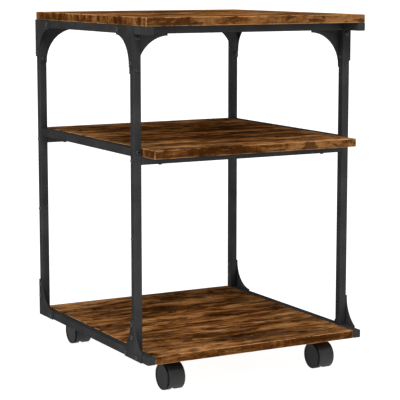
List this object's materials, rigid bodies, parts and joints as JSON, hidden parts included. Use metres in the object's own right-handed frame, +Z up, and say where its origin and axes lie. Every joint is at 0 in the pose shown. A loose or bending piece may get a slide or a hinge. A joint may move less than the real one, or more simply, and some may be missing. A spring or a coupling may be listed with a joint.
{
  "type": "mobile printer stand",
  "caption": "Mobile printer stand with oak-look boards on a black square-tube frame with arched corner plates, on swivel twin-wheel casters.",
  "frame": {"origin": "on the floor, under the middle of the stand's footprint", "axes": "+X to the right seen from the front, +Y to the back (the posts are set back from the front edge), +Z up"},
  "size_m": [0.4592, 0.4826, 0.665],
  "materials": {
    "smoked_oak": "smoked oak laminate with dark grain streaks, satin",
    "black_steel": "matte black powder coat",
    "black_cap_plastic": "fine-textured black plastic",
    "black_fasteners": "black-plated steel",
    "zinc_steel": "bright zinc-plated steel",
    "caster_plastic": "moulded black nylon, slight sheen"
  },
  "bodies": {
    "frame": {"top_board": "smoked_oak", "middle_board": "smoked_oak", "bottom_board": "smoked_oak", "left_top_rail": "black_steel", "left_middle_rail": "black_steel", "left_bottom_rail": "black_steel", "right_top_rail": "black_steel", "right_middle_rail": "black_steel", "right_bottom_rail": "black_steel", "front_top_crossbar": "black_steel", "front_middle_crossbar": "black_steel", "rear_top_crossbar": "black_steel", "rear_middle_crossbar": "black_steel", "front_left_upper_post": "black_steel", "front_left_lower_post": "black_steel", "front_right_upper_post": "black_steel", "front_right_lower_post": "black_steel", "rear_left_upper_post": "black_steel", "rear_left_lower_post": "black_steel", "rear_right_upper_post": "black_steel", "rear_right_lower_post": "black_steel", "front_left_top_side_gusset": "black_steel", "front_left_top_cross_gusset": "black_steel", "front_left_bottom_gusset": "black_steel", "front_right_top_side_gusset": "black_steel", "front_right_top_cross_gusset": "black_steel", "front_right_bottom_gusset": "black_steel", "rear_left_top_side_gusset": "black_steel", "rear_left_top_cross_gusset": "black_steel", "rear_left_bottom_gusset": "black_steel", "rear_right_top_side_gusset": "black_steel", "rear_right_top_cross_gusset": "black_steel", "rear_right_bottom_gusset": "black_steel", "rail_end_caps": "black_cap_plastic", "frame_bolts": "black_fasteners", "board_screws": "black_fasteners", "post_sleeves": "zinc_steel", "caster_kingpins": "zinc_steel", "caster_screws": "zinc_steel", "front_left_caster_plate": "zinc_steel", "front_right_caster_plate": "zinc_steel", "rear_left_caster_plate": "zinc_steel", "rear_right_caster_plate": "zinc_steel"},
    "front_left_caster": {"front_left_caster_hood": "caster_plastic", "front_left_caster_axle": "zinc_steel"},
    "front_left_caster_left_wheel": {"front_left_caster_left_wheel": "caster_plastic"},
    "front_left_caster_right_wheel": {"front_left_caster_right_wheel": "caster_plastic"},
    "front_right_caster": {"front_right_caster_hood": "caster_plastic", "front_right_caster_axle": "zinc_steel"},
    "front_right_caster_left_wheel": {"front_right_caster_left_wheel": "caster_plastic"},
    "front_right_caster_right_wheel": {"front_right_caster_right_wheel": "caster_plastic"},
    "rear_left_caster": {"rear_left_caster_hood": "caster_plastic", "rear_left_caster_axle": "zinc_steel"},
    "rear_left_caster_left_wheel": {"rear_left_caster_left_wheel": "caster_plastic"},
    "rear_left_caster_right_wheel": {"rear_left_caster_right_wheel": "caster_plastic"},
    "rear_right_caster": {"rear_right_caster_hood": "caster_plastic", "rear_right_caster_axle": "zinc_steel"},
    "rear_right_caster_left_wheel": {"rear_right_caster_left_wheel": "caster_plastic"},
    "rear_right_caster_right_wheel": {"rear_right_caster_right_wheel": "caster_plastic"}
  },
  "joints": [
    {"name": "front_left_swivel", "type": "hinge", "parent": "frame", "child": "front_left_caster", "pos_m": [-0.159, -0.181, 0.059], "axis": [0, 0, 1], "continuous": true},
    {"name": "front_left_left_wheel_spin", "type": "hinge", "parent": "front_left_caster", "child": "front_left_caster_left_wheel", "pos_m": [-0.17, -0.199, 0.0245], "axis": [1, 0, 0], "continuous": true},
    {"name": "front_left_right_wheel_spin", "type": "hinge", "parent": "front_left_caster", "child": "front_left_caster_right_wheel", "pos_m": [-0.148, -0.199, 0.0245], "axis": [1, 0, 0], "continuous": true},
    {"name": "front_right_swivel", "type": "hinge", "parent": "frame", "child": "front_right_caster", "pos_m": [0.159, -0.181, 0.059], "axis": [0, 0, 1], "continuous": true},
    {"name": "front_right_left_wheel_spin", "type": "hinge", "parent": "front_right_caster", "child": "front_right_caster_left_wheel", "pos_m": [0.148, -0.199, 0.0245], "axis": [1, 0, 0], "continuous": true},
    {"name": "front_right_right_wheel_spin", "type": "hinge", "parent": "front_right_caster", "child": "front_right_caster_right_wheel", "pos_m": [0.17, -0.199, 0.0245], "axis": [1, 0, 0], "continuous": true},
    {"name": "rear_left_swivel", "type": "hinge", "parent": "frame", "child": "rear_left_caster", "pos_m": [-0.159, 0.219, 0.059], "axis": [0, 0, 1], "continuous": true},
    {"name": "rear_left_left_wheel_spin", "type": "hinge", "parent": "rear_left_caster", "child": "rear_left_caster_left_wheel", "pos_m": [-0.17, 0.201, 0.0245], "axis": [1, 0, 0], "continuous": true},
    {"name": "rear_left_right_wheel_spin", "type": "hinge", "parent": "rear_left_caster", "child": "rear_left_caster_right_wheel", "pos_m": [-0.148, 0.201, 0.0245], "axis": [1, 0, 0], "continuous": true},
    {"name": "rear_right_swivel", "type": "hinge", "parent": "frame", "child": "rear_right_caster", "pos_m": [0.159, 0.219, 0.059], "axis": [0, 0, 1], "continuous": true},
    {"name": "rear_right_left_wheel_spin", "type": "hinge", "parent": "rear_right_caster", "child": "rear_right_caster_left_wheel", "pos_m": [0.148, 0.201, 0.0245], "axis": [1, 0, 0], "continuous": true},
    {"name": "rear_right_right_wheel_spin", "type": "hinge", "parent": "rear_right_caster", "child": "rear_right_caster_right_wheel", "pos_m": [0.17, 0.201, 0.0245], "axis": [1, 0, 0], "continuous": true}
  ]
}
